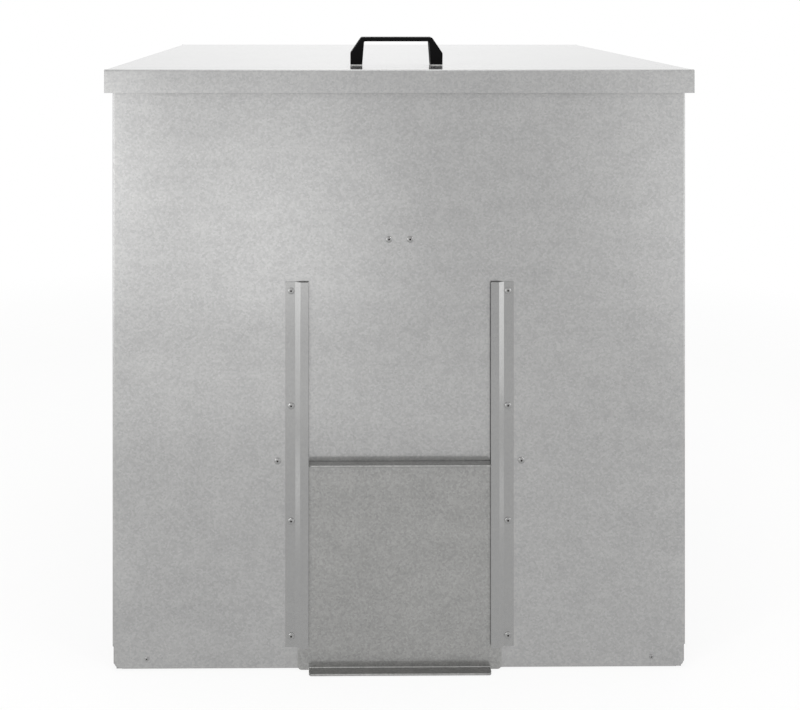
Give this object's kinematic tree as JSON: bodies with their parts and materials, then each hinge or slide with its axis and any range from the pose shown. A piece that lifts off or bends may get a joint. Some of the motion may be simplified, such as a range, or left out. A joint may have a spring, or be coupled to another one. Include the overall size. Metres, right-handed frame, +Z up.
{
  "type": "coal bunker",
  "caption": "Galvanised steel coal bunker: riveted sheet box with a sloping rear-hinged lid, a black bridge handle, and a hatch plate that slides up between two front rails.",
  "frame": {"origin": "centre of the floor pan's underside, on the ground", "axes": "+Z up, -Y out of the front panel, +X to the right of someone standing in front"},
  "size_m": [0.8324, 0.6628, 0.9076],
  "materials": {
    "galvanised_sheet": "hot-dip galvanised mill sheet with a fine, soft spangle, satin to semi-gloss",
    "plated_steel": "pressed steel, bright zinc plated",
    "aluminium_rivet": "bright aluminium dome with the dark hole of a broken steel mandrel",
    "black_plastic": "moulded black polyamide, satin with a fine texture",
    "grey_rubber": "light grey moulded rubber, matt",
    "brass_insert": "turned brass"
  },
  "bodies": {
    "bunker": {"front_panel": "galvanised_sheet", "back_panel": "galvanised_sheet", "left_side_panel": "galvanised_sheet", "right_side_panel": "galvanised_sheet", "floor_pan": "galvanised_sheet", "coal_baffle": "galvanised_sheet", "left_rail": "galvanised_sheet", "right_rail": "galvanised_sheet", "left_hinge_body_leaf": "plated_steel", "right_hinge_body_leaf": "plated_steel", "left_hinge_pin": "plated_steel", "right_hinge_pin": "plated_steel", "left_rail_rivets": "aluminium_rivet", "right_rail_rivets": "aluminium_rivet", "baffle_rivets": "aluminium_rivet", "front_corner_rivets": "aluminium_rivet", "back_corner_rivets": "aluminium_rivet", "front_foot_rivets": "aluminium_rivet", "back_foot_rivets": "aluminium_rivet", "side_foot_rivets": "aluminium_rivet", "hinge_body_rivets": "aluminium_rivet"},
    "lid": {"lid": "galvanised_sheet", "lid_handle": "black_plastic", "handle_pads": "grey_rubber", "handle_inserts": "brass_insert", "handle_washers": "plated_steel", "handle_screws": "plated_steel", "left_hinge_lid_leaf": "plated_steel", "right_hinge_lid_leaf": "plated_steel", "hinge_lid_rivets": "aluminium_rivet"},
    "hatch": {"hatch_plate": "galvanised_sheet"}
  },
  "joints": [
    {"name": "lid_hinge", "type": "hinge", "parent": "bunker", "child": "lid", "pos_m": [0, 0.32775, 0.86882], "axis": [-1, 0, 0], "range_deg": [0, 100]},
    {"name": "hatch_slide", "type": "slide", "parent": "bunker", "child": "hatch", "axis": [0, 0, 1], "range_m": [0, 0.25]}
  ]
}
